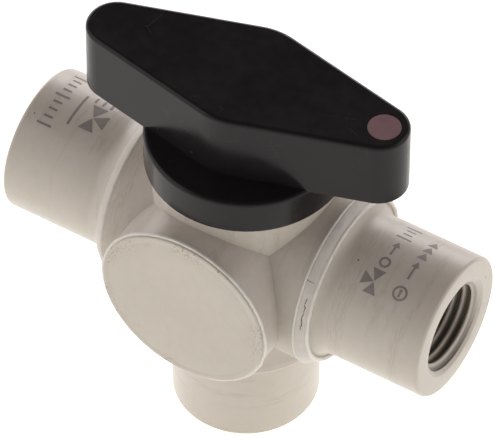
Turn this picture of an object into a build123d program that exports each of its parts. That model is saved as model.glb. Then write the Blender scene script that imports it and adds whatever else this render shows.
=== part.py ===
from build123d import *

import os
from math import asin, degrees, radians, tan

# Three way ball valve, all sizes in millimetres.
# The origin is the centre of the bottom port's mouth, +Z runs up the stem,
# +X points out of the right port, and -Y out of the front blanking cap.
# Most parts are first built along +Z from the centre of the ball, as if the ball
# were at the origin, and are then turned into their own arm of the body.

# Body: five arms and a stem boss crossing at the centre of the ball
ball_height = 30.4
arm_radius = 12.5
arm_bore_radius = 8.8
side_weld_reach = 15.9
cap_weld_reach = 15.7
bottom_weld_reach = 14.2
boss_reach = 15.0
chamber_radius = 9.0

# Turned band over each side weld
band_radius = 12.65
band_start_reach = 14.5
band_end_reach = 16.5
band_edge_round = 0.12

# Port sleeves, with the G 1/4 thread's bore at the size of its crests
sleeve_radius = 10.0
sleeve_length = 16.2
flare_height = 2.5
flare_length = 3.5
flare_radius = 3.7
rim_round = 0.5
spigot_clearance = 0.05
spigot_reach = 8.9
thread_bore_radius = 5.72
thread_length = 11.0
mouth_radius = 7.05
flow_radius = 4.0
drill_point_half_angle = 59.0

# Blanking caps
cap_face_radius = 12.35
cap_face_thickness = 0.45
cap_edge_chamfer = 0.2
cap_core_reach = 14.0

# Ball with an L shaped waterway
ball_radius = 8.5
slot_width = 3.0
slot_floor = 5.6

# Seats and the rings that press them on the ball
seat_clearance = 0.05
seat_inner_radius = 4.25
seat_outer_radius = 6.8
seat_front_reach = 6.9
seat_back_reach = 9.9
pocket_radius = 6.85
pocket_reach = 11.1
seat_ring_radius = 5.45
seat_ring_section = 0.59

# Stem
stem_radius = 4.0
stem_bore_radius = 4.05
collar_radius = 6.0
collar_bottom = 8.75
collar_top = 9.9
recess_radius = 6.2
recess_ceiling = 10.6
washer_gap = 0.03
tang_width = 2.86
tang_length = 11.0
tang_bottom = 5.75
groove_width = 1.3
groove_radius = 3.05
stem_ring_section = 0.49
stem_ring_heights = {"lower": 11.9, "upper": 13.8}
stem_neck_top = 15.4
square_side = 5.6
square_top = 22.0
barb_radius = 4.3
barb_root_radius = 3.1
barb_neck_top = 22.4
barb_top = 24.6
split_width = 1.4
split_bottom = 17.5

# Handle: a round skirt under a long grip with rounded tips
rest_angle = 3.75
skirt_radius = 13.55
skirt_bottom = 15.25
skirt_top = 20.45
skirt_edge_round = 0.6
skirt_bore_radius = 11.6
skirt_ceiling = 18.0
grip_bottom = 20.2
grip_top = 30.75
grip_middle_radius = 8.88
grip_tip_radius = 4.1
grip_tip_reach = 19.12
grip_edge_round = 0.6
wall = 1.8
rib_width = 1.6
grip_ceiling = 28.7
pocket_start = 14.0
hub_radius = 5.4
hub_bottom = 15.6
socket_side = 5.7
barb_chamber_radius = 4.7
barb_chamber_top = 25.2

# Stops that hold the handle to half a turn
stop_inner_radius = 8.2
stop_outer_radius = 10.8
stop_top = 16.8
stop_clearance = 0.1
lug_half_angle = 15.0
swing = 180.0
stop_play_angle = 0.5

# Indicator dot, flush in the grip's top
dot_radius = 2.2
dot_reach = 19.9
dot_thickness = 1.6

lift = Pos(0, 0, ball_height)
arm_turns = {
    "right": Rot(0, 90, 0),
    "left": Rot(0, -90, 0),
    "front": Rot(90, 0, 0),
    "rear": Rot(-90, 0, 0),
    "bottom": Rot(180, 0, 0),
}
weld_reaches = {
    "right": side_weld_reach,
    "left": side_weld_reach,
    "front": cap_weld_reach,
    "rear": cap_weld_reach,
    "bottom": bottom_weld_reach,
}
sleeve_arms = ("right", "left", "bottom")
cap_arms = ("front", "rear")


def rod(radius, low, high):
    """A round bar along Z between two heights."""
    return Pos(0, 0, (low + high) / 2) * Cylinder(radius, high - low)


def taper(low_radius, high_radius, low, high):
    """A cone along Z between two heights."""
    return Pos(0, 0, (low + high) / 2) * Cone(low_radius, high_radius, high - low)


def bar(length_x, length_y, low, high):
    """A square bar on the Z axis between two heights."""
    return Pos(0, 0, (low + high) / 2) * Box(length_x, length_y, high - low)


def torus_at(height, major_radius, section_radius):
    """A ring of round section about the Z axis."""
    return Pos(0, 0, height) * Torus(major_radius, section_radius)


def sector(inner_radius, outer_radius, low, high, middle_angle, half_angle):
    """A block cut from a ring, between two heights and two angles about Z."""
    ring = rod(outer_radius, low, high) - rod(inner_radius, low, high)
    reach = 3 * outer_radius
    side = reach * tan(radians(half_angle))
    wedge = make_face(Polyline((0, 0), (reach, -side), (reach, side), (0, 0)))
    prism = Pos(0, 0, low) * extrude(wedge, high - low)
    return ring & (Rot(0, 0, middle_angle) * prism)


def in_arm(shape, arm):
    """Turn a shape built along +Z into one of the body's arms."""
    return lift * arm_turns[arm] * shape


def side_band():
    """The body's half of the turned band over a side weld."""
    band = rod(band_radius, band_start_reach, side_weld_reach)
    inner_edge = band.edges().filter_by(GeomType.CIRCLE).sort_by(Axis.Z)[0]
    return fillet(inner_edge, band_edge_round)


def valve_body():
    """Moulded body: crossing arms, ball chamber, stem bore and stop."""
    body = rod(arm_radius, -bottom_weld_reach, boss_reach)
    for arm, reach in weld_reaches.items():
        if arm != "bottom":
            body += arm_turns[arm] * rod(arm_radius, 0, reach)
    for arm in ("right", "left"):
        body += arm_turns[arm] * side_band()
    body += sector(stop_inner_radius, stop_outer_radius, boss_reach, stop_top, 0, stop_half_angle())
    body -= Sphere(chamber_radius)
    for arm, reach in weld_reaches.items():
        body -= arm_turns[arm] * rod(arm_bore_radius, 0, reach)
    body -= rod(recess_radius, 0, recess_ceiling)
    body -= rod(stem_bore_radius, 0, boss_reach)
    return lift * body


def stop_half_angle():
    """Half the angle that the body's stop covers, beside the handle lug's swing."""
    return (360 - swing) / 2 - lug_half_angle - stop_play_angle


def seat_pocket():
    """Counterbore in a spigot's inner end, for a seat and its ring."""
    return rod(pocket_radius, spigot_reach, pocket_reach)


def spigot(weld_reach):
    """The plug that fills an arm's bore, behind a seat."""
    return rod(arm_bore_radius - spigot_clearance, spigot_reach, weld_reach)


def sleeve_shell(weld_reach):
    """Outside of a port sleeve: half band, concave flare, barrel and rounded rim."""
    band_end = weld_reach + band_end_reach - side_weld_reach
    flare_end = band_end + flare_length
    mouth = weld_reach + sleeve_length
    flare_angle = degrees(asin(flare_length / flare_radius))
    flare_centre = (sleeve_radius + flare_radius, flare_end)
    inner_lines = Polyline(
        (sleeve_radius + flare_height, band_end),
        (band_radius - band_edge_round, band_end),
        (band_radius, band_end - band_edge_round),
        (band_radius, weld_reach),
        (0, weld_reach),
        (0, mouth),
        (sleeve_radius - rim_round, mouth),
    )
    rim = CenterArc((sleeve_radius - rim_round, mouth - rim_round), rim_round, 90, -90)
    barrel = Line((sleeve_radius, mouth - rim_round), (sleeve_radius, flare_end))
    flare = CenterArc(flare_centre, flare_radius, 180, flare_angle)
    outline = Plane.XZ * make_face(inner_lines + rim + barrel + flare)
    return revolve(outline, Axis.Z)


def port_sleeve(arm):
    """Welded port sleeve with its spigot, flow bore and thread bore."""
    weld_reach = weld_reaches[arm]
    mouth = weld_reach + sleeve_length
    mouth_depth = mouth_radius - thread_bore_radius
    thread_top = mouth - mouth_depth
    thread_floor = thread_top - thread_length
    drill_depth = (thread_bore_radius - flow_radius) / tan(radians(drill_point_half_angle))
    sleeve = sleeve_shell(weld_reach) + spigot(weld_reach)
    sleeve -= seat_pocket()
    sleeve -= rod(flow_radius, spigot_reach, mouth)
    sleeve -= taper(flow_radius, thread_bore_radius, thread_floor - drill_depth, thread_floor)
    sleeve -= rod(thread_bore_radius, thread_floor, thread_top)
    sleeve -= taper(thread_bore_radius, mouth_radius, thread_top, mouth)
    return in_arm(sleeve, arm)


def blanking_cap(arm):
    """Welded blank disc with its plug, cored out behind the seat."""
    weld_reach = weld_reaches[arm]
    face = rod(cap_face_radius, weld_reach, weld_reach + cap_face_thickness)
    face = chamfer(face.edges().sort_by(Axis.Z)[-1], cap_edge_chamfer)
    cap = face + spigot(weld_reach)
    cap -= seat_pocket()
    cap -= rod(flow_radius, spigot_reach, cap_core_reach)
    return in_arm(cap, arm)


def ball():
    """Ball with a bottom leg, a side leg and a slot across its top."""
    shape = Sphere(ball_radius)
    shape -= rod(flow_radius, -ball_radius, 0)
    shape -= Rot(0, 90, 0) * rod(flow_radius, 0, ball_radius)
    shape -= Sphere(flow_radius)
    shape -= bar(slot_width, 2 * ball_radius, slot_floor, ball_radius)
    return lift * Rot(0, 0, rest_angle) * shape


def seat(arm):
    """Seat ring with a hollow face that follows the ball."""
    ring = rod(seat_outer_radius, seat_front_reach, seat_back_reach)
    ring -= rod(seat_inner_radius, seat_front_reach, seat_back_reach)
    ring -= Sphere(ball_radius + seat_clearance)
    return in_arm(ring, arm)


def seat_o_ring(arm):
    """Rubber ring between a seat and the bottom of its pocket."""
    middle = (seat_back_reach + pocket_reach) / 2
    return in_arm(torus_at(middle, seat_ring_radius, seat_ring_section), arm)


def thrust_washer():
    """Slippery washer between the stem's collar and the body."""
    washer = rod(collar_radius, collar_top + washer_gap, recess_ceiling - washer_gap)
    washer -= rod(stem_bore_radius + washer_gap, collar_top, recess_ceiling)
    return lift * washer


def stem():
    """Stem with tang, collar, ring grooves, square drive and split barbed head."""
    shape = bar(tang_width, tang_length, tang_bottom, collar_bottom)
    shape &= rod(collar_radius, tang_bottom, collar_bottom)
    shape += rod(collar_radius, collar_bottom, collar_top)
    shape += rod(stem_radius, collar_top, stem_neck_top)
    for height in stem_ring_heights.values():
        low = height - groove_width / 2
        high = height + groove_width / 2
        shape -= rod(stem_radius, low, high) - rod(groove_radius, low, high)
    drive = bar(square_side, square_side, stem_neck_top, square_top)
    drive &= rod(stem_radius, stem_neck_top, square_top)
    shape += drive
    shape += rod(barb_root_radius, square_top, barb_neck_top)
    head = taper(barb_radius, barb_root_radius, barb_neck_top, barb_top)
    head &= bar(2 * barb_radius, square_side, barb_neck_top, barb_top)
    shape += head
    shape -= bar(split_width, 2 * barb_radius, split_bottom, barb_top)
    return lift * Rot(0, 0, rest_angle) * shape


def stem_o_ring(height):
    """Rubber ring in one of the stem's grooves."""
    major_radius = groove_radius + stem_ring_section
    return lift * torus_at(height, major_radius, stem_ring_section)


def grip_outline(offset):
    """Outline of the grip, drawn in by an offset: three circles in a tight hull."""
    middle = Circle(grip_middle_radius - offset)
    right_tip = Pos(grip_tip_reach, 0) * Circle(grip_tip_radius - offset)
    left_tip = Pos(-grip_tip_reach, 0) * Circle(grip_tip_radius - offset)
    return make_hull(middle.edges() + right_tip.edges() + left_tip.edges())


def grip():
    """Solid grip block with a softened top edge."""
    block = Pos(0, 0, grip_bottom) * extrude(grip_outline(0), grip_top - grip_bottom)
    top_edges = block.faces().sort_by(Axis.Z)[-1].edges()
    return fillet(top_edges, grip_edge_round)


def grip_pockets():
    """Hollows cored out of the grip from below, one each side of a middle rib."""
    core = Pos(0, 0, grip_bottom) * extrude(grip_outline(wall), grip_ceiling - grip_bottom)
    core -= bar(2 * pocket_start, 2 * arm_radius, grip_bottom, grip_ceiling)
    core -= bar(3 * grip_tip_reach, rib_width, grip_bottom, grip_ceiling)
    core -= Pos(dot_reach, 0, 0) * rod(dot_radius + wall / 2, grip_bottom, grip_ceiling)
    return core


def stop_lug():
    """Lug under the handle that runs against the body's stop."""
    inner = stop_inner_radius + stop_clearance
    outer = stop_outer_radius - stop_clearance
    bottom = skirt_bottom + stop_clearance
    return sector(inner, outer, bottom, skirt_ceiling, 90, lug_half_angle)


def handle():
    """Black handle: skirt, grip, hub with a square socket, and stop lug."""
    skirt = rod(skirt_radius, skirt_bottom, skirt_top)
    skirt = fillet(skirt.edges().sort_by(Axis.Z)[-1], skirt_edge_round)
    shape = skirt + grip()
    shape -= grip_pockets()
    shape -= rod(skirt_bore_radius, skirt_bottom, skirt_ceiling)
    shape += rod(hub_radius, hub_bottom, skirt_ceiling)
    shape += stop_lug()
    shape -= bar(socket_side, socket_side, hub_bottom, square_top)
    shape -= rod(barb_chamber_radius, square_top, barb_chamber_top)
    shape -= dot_block()
    return lift * Rot(0, 0, rest_angle) * shape


def dot_block():
    """Space of the indicator dot in the grip's top."""
    return Pos(dot_reach, 0, 0) * rod(dot_radius, grip_top - dot_thickness, grip_top)


def indicator_dot():
    """Coloured dot that shows which way the side leg points."""
    return lift * Rot(0, 0, rest_angle) * dot_block()


def all_parts():
    """Every sub-part by its node name."""
    parts = {"valve_body": valve_body()}
    for arm in sleeve_arms:
        parts[f"{arm}_port_sleeve"] = port_sleeve(arm)
    for arm in cap_arms:
        parts[f"{arm}_blanking_cap"] = blanking_cap(arm)
    parts["ball"] = ball()
    for arm in sleeve_arms + cap_arms:
        parts[f"{arm}_seat"] = seat(arm)
        parts[f"{arm}_seat_o_ring"] = seat_o_ring(arm)
    parts["thrust_washer"] = thrust_washer()
    parts["stem"] = stem()
    for name, height in stem_ring_heights.items():
        parts[f"{name}_stem_o_ring"] = stem_o_ring(height)
    parts["handle"] = handle()
    parts["indicator_dot"] = indicator_dot()
    return parts


os.makedirs("parts", exist_ok=True)
for node, shape in all_parts().items():
    export_step(shape, f"parts/{node}.step")
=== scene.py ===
"""Looks of a compact plastic three way ball valve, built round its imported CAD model."""

import logging
import math
import random
from dataclasses import dataclass
from enum import Enum

import bmesh
import bpy
from mathutils import Euler, Matrix, Vector, noise


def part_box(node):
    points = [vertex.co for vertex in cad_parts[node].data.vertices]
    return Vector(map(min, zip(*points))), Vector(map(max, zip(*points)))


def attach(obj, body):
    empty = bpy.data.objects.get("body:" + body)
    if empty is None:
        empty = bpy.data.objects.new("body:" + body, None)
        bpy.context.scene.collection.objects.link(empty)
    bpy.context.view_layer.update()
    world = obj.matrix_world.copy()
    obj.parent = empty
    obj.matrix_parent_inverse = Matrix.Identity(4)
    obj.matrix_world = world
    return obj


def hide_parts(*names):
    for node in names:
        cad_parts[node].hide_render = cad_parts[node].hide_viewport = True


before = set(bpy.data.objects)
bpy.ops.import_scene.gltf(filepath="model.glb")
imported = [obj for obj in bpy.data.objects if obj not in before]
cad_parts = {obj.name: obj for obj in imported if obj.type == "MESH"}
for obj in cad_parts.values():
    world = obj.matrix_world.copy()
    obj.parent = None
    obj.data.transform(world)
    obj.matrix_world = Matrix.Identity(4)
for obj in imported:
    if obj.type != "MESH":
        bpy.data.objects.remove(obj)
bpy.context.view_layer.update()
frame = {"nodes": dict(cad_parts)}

MM = 0.001
INCH = 0.0254
LOG = logging.getLogger("three_way_valve")

HOUSING = "housing"
NEAR = 0.01 * MM


class Arm(Enum):
    """An arm of the body, by the turn that brings +Z onto it, in degrees about X, Y and Z."""

    RIGHT = (0, 90, 0)
    LEFT = (0, -90, 0)
    BOTTOM = (180, 0, 0)
    FRONT = (90, 0, 0)
    REAR = (-90, 0, 0)

    @property
    def word(self) -> str:
        """The arm's name as the CAD nodes use it."""
        return self.name.lower()


def ball_centre() -> Vector:
    """The point where the arms cross, from the side sleeves' box."""
    low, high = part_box("right_port_sleeve")
    return Vector((0.0, 0.0, (low.z + high.z) / 2))


def arm_matrix(arm: Arm) -> Matrix:
    """Placement that takes a piece built along +Z from the origin into an arm.

    Args:
        arm: The arm that the piece belongs to.

    Returns:
        The turn and the lift as one matrix.
    """
    turn = Euler([math.radians(angle) for angle in arm.value]).to_matrix().to_4x4()
    return Matrix.Translation(ball_centre()) @ turn


def arm_reach(arm: Arm, node: str) -> tuple[float, float]:
    """How near and how far from the ball's centre a node reaches along an arm.

    Args:
        arm: The arm to measure along.
        node: The CAD node to measure.

    Returns:
        The nearest and the furthest distance, in metres.
    """
    back = arm_matrix(arm).inverted()
    ends = [(back @ corner).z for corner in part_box(node)]
    return min(ends), max(ends)


# ---------------------------------------------------------------- node trees


class Tree:
    """A short way to add and join shader nodes."""

    def __init__(self, tree: bpy.types.NodeTree) -> None:
        """Keep the node tree that this writes to."""
        self.tree = tree

    def add(self, kind: str, **settings: object) -> bpy.types.Node:
        """Add a node.

        Args:
            kind: The node's Blender type, without the ShaderNode prefix.
            settings: Properties of the node, by name.

        Returns:
            The new node.
        """
        node = self.tree.nodes.new("ShaderNode" + kind)
        for name, value in settings.items():
            setattr(node, name, value)
        return node

    def join(self, source: bpy.types.NodeSocket, target: bpy.types.NodeSocket) -> None:
        """Link an output socket to an input socket."""
        self.tree.links.new(source, target)

    def feed(self, target: bpy.types.NodeSocket, value: object) -> None:
        """Give an input socket a constant or a link, whichever the value is.

        Args:
            target: The input socket.
            value: A constant or an output socket.
        """
        if isinstance(value, bpy.types.NodeSocket):
            self.join(value, target)
        else:
            target.default_value = value

    def math(
        self, operation: str, first: object, second: object = 0.0, third: object = 0.0
    ) -> bpy.types.NodeSocket:
        """Add a Math node.

        Args:
            operation: The node's operation.
            first: First constant or link.
            second: Second constant or link.
            third: Third constant or link.

        Returns:
            The node's output.
        """
        node = self.add("Math", operation=operation)
        for socket, value in zip(node.inputs, (first, second, third)):
            self.feed(socket, value)
        return node.outputs[0]

    def noise(
        self, vector: bpy.types.NodeSocket, scale: float, detail: float = 2.0, rough: float = 0.5
    ) -> bpy.types.NodeSocket:
        """Add a Noise Texture.

        Args:
            vector: Where the noise is read.
            scale: Clouds in a metre.
            detail: Finer layers of noise.
            rough: Strength of the finer layers.

        Returns:
            The noise's value.
        """
        node = self.add("TexNoise")
        self.join(vector, node.inputs["Vector"])
        node.inputs["Scale"].default_value = scale
        node.inputs["Detail"].default_value = detail
        node.inputs["Roughness"].default_value = rough
        return node.outputs["Fac"]

    def ramp(
        self, value: object, low: float, high: float, to_low: float = 0.0, to_high: float = 1.0
    ) -> bpy.types.NodeSocket:
        """Map a value smoothly from one range onto another.

        Args:
            value: The link to map.
            low: Start of the range that it comes from.
            high: End of the range that it comes from.
            to_low: Start of the range that it goes to.
            to_high: End of the range that it goes to.

        Returns:
            The mapped value.
        """
        node = self.add("MapRange", interpolation_type="SMOOTHSTEP")
        self.feed(node.inputs["Value"], value)
        limits = {"From Min": low, "From Max": high, "To Min": to_low, "To Max": to_high}
        for name, number in limits.items():
            node.inputs[name].default_value = number
        return node.outputs["Result"]

    def mix(self, share: object, first: object, second: object) -> bpy.types.NodeSocket:
        """Mix two colours.

        Args:
            share: Share of the second colour, from 0 to 1.
            first: First colour or link.
            second: Second colour or link.

        Returns:
            The mixed colour.
        """
        node = self.add("Mix", data_type="RGBA")
        self.feed(node.inputs["Factor"], share)
        self.feed(node.inputs["A"], first)
        self.feed(node.inputs["B"], second)
        return node.outputs["Result"]


class Group:
    """A shader node group with named inputs and outputs, built once and used by many materials."""

    def __init__(self, name: str, inputs: dict[str, tuple[str, object]], outputs: dict[str, str]) -> None:
        """Make the group's tree and its sockets.

        Args:
            name: The group's name.
            inputs: Socket type and first value, by input name.
            outputs: Socket type, by output name.
        """
        self.tree = bpy.data.node_groups.new(name, "ShaderNodeTree")
        for label, (kind, value) in inputs.items():
            socket = self.tree.interface.new_socket(label, in_out="INPUT", socket_type="NodeSocket" + kind)
            if value is not None:
                socket.default_value = value
        for label, kind in outputs.items():
            self.tree.interface.new_socket(label, in_out="OUTPUT", socket_type="NodeSocket" + kind)
        self.nodes = Tree(self.tree)
        self.source = self.tree.nodes.new("NodeGroupInput").outputs
        self.sink = self.tree.nodes.new("NodeGroupOutput").inputs

    def place(self, tree: Tree, **values: object) -> dict[str, bpy.types.NodeSocket]:
        """Put the group into a material.

        Args:
            tree: The material's tree.
            values: Constants or links for the inputs, with spaces as underscores.

        Returns:
            The group's outputs by name.
        """
        node = tree.tree.nodes.new("ShaderNodeGroup")
        node.node_tree = self.tree
        for name, value in values.items():
            tree.feed(node.inputs[name.replace("_", " ")], value)
        return {socket.name: socket for socket in node.outputs}


def mottle_group() -> Group:
    """Cloudy colour change of a moulded plastic, in two sizes of cloud.

    Returns:
        The shared group.
    """
    group = Group(
        "mottle",
        {"Vector": ("Vector", None), "Light": ("Color", (1, 1, 1, 1)), "Dark": ("Color", (0, 0, 0, 1))},
        {"Color": "Color", "Cloud": "Float"},
    )
    tree = group.nodes
    broad = tree.noise(group.source["Vector"], 90.0, 2.0)
    fine = tree.noise(group.source["Vector"], 700.0, 4.0, 0.6)
    cloud = tree.math("MULTIPLY_ADD", fine, 0.45, tree.math("MULTIPLY", broad, 0.55))
    share = tree.ramp(cloud, 0.32, 0.68)
    tree.join(tree.mix(share, group.source["Dark"], group.source["Light"]), group.sink["Color"])
    tree.join(share, group.sink["Cloud"])
    return group


def speck_group() -> Group:
    """Sparse tiny specks of dust or burnt resin, as a mask.

    Returns:
        The shared group.
    """
    group = Group(
        "specks",
        {
            "Vector": ("Vector", None),
            "Scale": ("Float", 500.0),
            "Size": ("Float", 0.12),
            "Share": ("Float", 0.1),
        },
        {"Mask": "Float"},
    )
    tree = group.nodes
    cells = tree.add("TexVoronoi", feature="F1")
    tree.join(group.source["Vector"], cells.inputs["Vector"])
    tree.join(group.source["Scale"], cells.inputs["Scale"])
    chosen = tree.add("TexWhiteNoise")
    tree.join(cells.outputs["Color"], chosen.inputs["Vector"])
    near = tree.math("LESS_THAN", cells.outputs["Distance"], group.source["Size"])
    kept = tree.math("LESS_THAN", chosen.outputs["Value"], group.source["Share"])
    tree.join(tree.math("MULTIPLY", near, kept), group.sink["Mask"])
    return group


def scratch_group() -> Group:
    """Fine hair scratches that wander and break off, as a mask.

    Returns:
        The shared group.
    """
    group = Group(
        "scratches",
        {"Vector": ("Vector", None), "Scale": ("Float", 300.0), "Width": ("Float", 0.02)},
        {"Mask": "Float"},
    )
    tree = group.nodes
    bend = tree.add("TexNoise")
    tree.join(group.source["Vector"], bend.inputs["Vector"])
    bend.inputs["Scale"].default_value = 60.0
    lines = tree.add("TexVoronoi", feature="DISTANCE_TO_EDGE")
    offset = tree.add("VectorMath", operation="MULTIPLY_ADD")
    tree.join(bend.outputs["Color"], offset.inputs[0])
    offset.inputs[1].default_value = (0.004, 0.004, 0.004)
    tree.join(group.source["Vector"], offset.inputs[2])
    tree.join(offset.outputs[0], lines.inputs["Vector"])
    tree.join(group.source["Scale"], lines.inputs["Scale"])
    thin = tree.math("LESS_THAN", lines.outputs["Distance"], group.source["Width"])
    broken = tree.ramp(tree.noise(group.source["Vector"], 170.0, 3.0), 0.58, 0.66)
    tree.join(tree.math("MULTIPLY", thin, broken), group.sink["Mask"])
    return group


def turned_group() -> Group:
    """Fine rings that a lathe leaves, as a height along one coordinate.

    Returns:
        The shared group.
    """
    group = Group("turned rings", {"Along": ("Float", 0.0)}, {"Height": "Float"})
    tree = group.nodes
    wide = tree.add("TexNoise", noise_dimensions="1D")
    tree.feed(wide.inputs["W"], tree.math("MULTIPLY", group.source["Along"], 5000.0))
    wide.inputs["Scale"].default_value = 1.0
    wide.inputs["Detail"].default_value = 3.0
    tree.join(wide.outputs["Fac"], group.sink["Height"])
    return group


def streak_group() -> Group:
    """Fine broken streaks, where flow and handling have brushed a moulding.

    Returns:
        The shared group.
    """
    group = Group("streaks", {"Vector": ("Vector", None)}, {"Streak": "Float"})
    tree = group.nodes
    lines = tree.noise(group.source["Vector"], 6500.0, 3.0, 0.6)
    patches = tree.ramp(tree.noise(group.source["Vector"], 420.0, 2.0), 0.42, 0.62)
    tree.join(tree.math("MULTIPLY", lines, patches), group.sink["Streak"])
    return group


def build_groups() -> dict[str, Group]:
    """Every shared shader group, by name.

    Returns:
        The groups by name.
    """
    return {
        "mottle": mottle_group(),
        "specks": speck_group(),
        "scratches": scratch_group(),
        "turned": turned_group(),
        "streaks": streak_group(),
    }


# ---------------------------------------------------------------- finishes


class Axis(Enum):
    """The axis that a turned piece's rings and streaks go round."""

    NONE = ""
    X = "X"
    Z = "Z"


@dataclass(frozen=True)
class Plastic:
    """A moulded or turned plastic: two close colours, a sheen, and fine surface detail."""

    name: str
    light: tuple[float, float, float]
    dark: tuple[float, float, float]
    roughness: float
    roughness_spread: float = 0.06
    specular: float = 0.5
    speck_color: tuple[float, float, float] = (0.2, 0.13, 0.08)
    speck_share: float = 0.0
    speck_scale: float = 900.0
    speck_size: float = 0.13
    scratch_color: tuple[float, float, float] = (0.3, 0.3, 0.3)
    scratch_strength: float = 0.0
    scratch_scale: float = 210.0
    scratch_width: float = 0.004
    scratch_roughness: float = 0.3
    grain_scale: float = 2500.0
    grain_depth: float = 0.004 * MM
    rings: Axis = Axis.NONE
    ring_depth: float = 0.006 * MM
    streak_along: Axis = Axis.NONE
    streak_strength: float = 0.22
    glow: float = 0.0
    glow_color: tuple[float, float, float] = (1.0, 0.85, 0.65)
    glow_depth: float = 1.2 * MM
    sheen: float = 0.0
    sheen_roughness: float = 0.35

    def build(self, groups: dict[str, Group]) -> bpy.types.Material:
        """Make the material.

        Args:
            groups: The shared shader groups.

        Returns:
            The finished material.
        """
        material = bpy.data.materials.new(self.name)
        material.use_nodes = True
        tree = Tree(material.node_tree)
        shader = material.node_tree.nodes["Principled BSDF"]
        place = tree.add("TexCoord").outputs["Object"]
        cloud = groups["mottle"].place(tree, Vector=place, Light=(*self.light, 1), Dark=(*self.dark, 1))
        color = cloud["Color"]
        if self.speck_share:
            specks = groups["specks"].place(
                tree, Vector=place, Scale=self.speck_scale, Size=self.speck_size, Share=self.speck_share
            )
            color = tree.mix(specks["Mask"], color, (*self.speck_color, 1))
        if self.streak_along is not Axis.NONE:
            streaks = self.add_streaks(tree, place, groups)
            share = tree.ramp(streaks, 0.35, 0.75, 0.0, self.streak_strength)
            color = tree.mix(share, color, (*self.speck_color, 1))
        color = self.tint(tree, place, color)
        smoothest = self.roughness - self.roughness_spread
        roughest = self.roughness + self.roughness_spread
        rough = tree.ramp(cloud["Cloud"], 0.0, 1.0, smoothest, roughest)
        if self.scratch_strength:
            scratches = groups["scratches"].place(
                tree, Vector=place, Scale=self.scratch_scale, Width=self.scratch_width
            )
            share = tree.math("MULTIPLY", scratches["Mask"], self.scratch_strength)
            color = tree.mix(share, color, (*self.scratch_color, 1))
            rough = tree.math("MULTIPLY_ADD", share, self.scratch_roughness, rough)
        tree.join(color, shader.inputs["Base Color"])
        tree.join(rough, shader.inputs["Roughness"])
        shader.inputs["Specular IOR Level"].default_value = self.specular
        shader.inputs["Sheen Weight"].default_value = self.sheen
        shader.inputs["Sheen Roughness"].default_value = self.sheen_roughness
        if self.glow:
            shader.inputs["Subsurface Weight"].default_value = self.glow
            shader.inputs["Subsurface Radius"].default_value = self.glow_color
            shader.inputs["Subsurface Scale"].default_value = self.glow_depth
        self.add_relief(tree, shader, place, groups)
        return material

    def add_streaks(
        self, tree: Tree, place: bpy.types.NodeSocket, groups: dict[str, Group]
    ) -> bpy.types.NodeSocket:
        """Place the shared streaks so that they run round the chosen axis.

        Args:
            tree: The material's tree.
            place: Object coordinates.
            groups: The shared shader groups.

        Returns:
            The streaks' strength.
        """
        squeeze = tree.add("Mapping")
        stretch = {Axis.X: (1.0, 0.1, 0.1), Axis.Z: (0.1, 0.1, 1.0)}
        squeeze.inputs["Scale"].default_value = stretch[self.streak_along]
        tree.join(place, squeeze.inputs["Vector"])
        return groups["streaks"].place(tree, Vector=squeeze.outputs[0])["Streak"]

    def tint(
        self, tree: Tree, place: bpy.types.NodeSocket, color: bpy.types.NodeSocket
    ) -> bpy.types.NodeSocket:
        """Change the colour by place. A plain plastic keeps it."""
        return color

    def add_relief(
        self, tree: Tree, shader: bpy.types.Node, place: bpy.types.NodeSocket, groups: dict[str, Group]
    ) -> None:
        """Give the shader its grain and, where it was turned, its rings.

        Args:
            tree: The material's tree.
            shader: The Principled shader.
            place: Object coordinates.
            groups: The shared shader groups.
        """
        grain = tree.noise(place, self.grain_scale, 4.0, 0.6)
        bump = tree.add("Bump")
        bump.inputs["Strength"].default_value = 1.0
        bump.inputs["Distance"].default_value = self.grain_depth
        tree.join(grain, bump.inputs["Height"])
        last = bump
        if self.rings is not Axis.NONE:
            parts = tree.add("SeparateXYZ")
            tree.join(place, parts.inputs[0])
            rings = groups["turned"].place(tree, Along=parts.outputs[self.rings.value])
            last = tree.add("Bump")
            last.inputs["Strength"].default_value = 1.0
            last.inputs["Distance"].default_value = self.ring_depth
            tree.join(rings["Height"], last.inputs["Height"])
            tree.join(bump.outputs[0], last.inputs["Normal"])
        tree.join(last.outputs[0], shader.inputs["Normal"])


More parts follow.
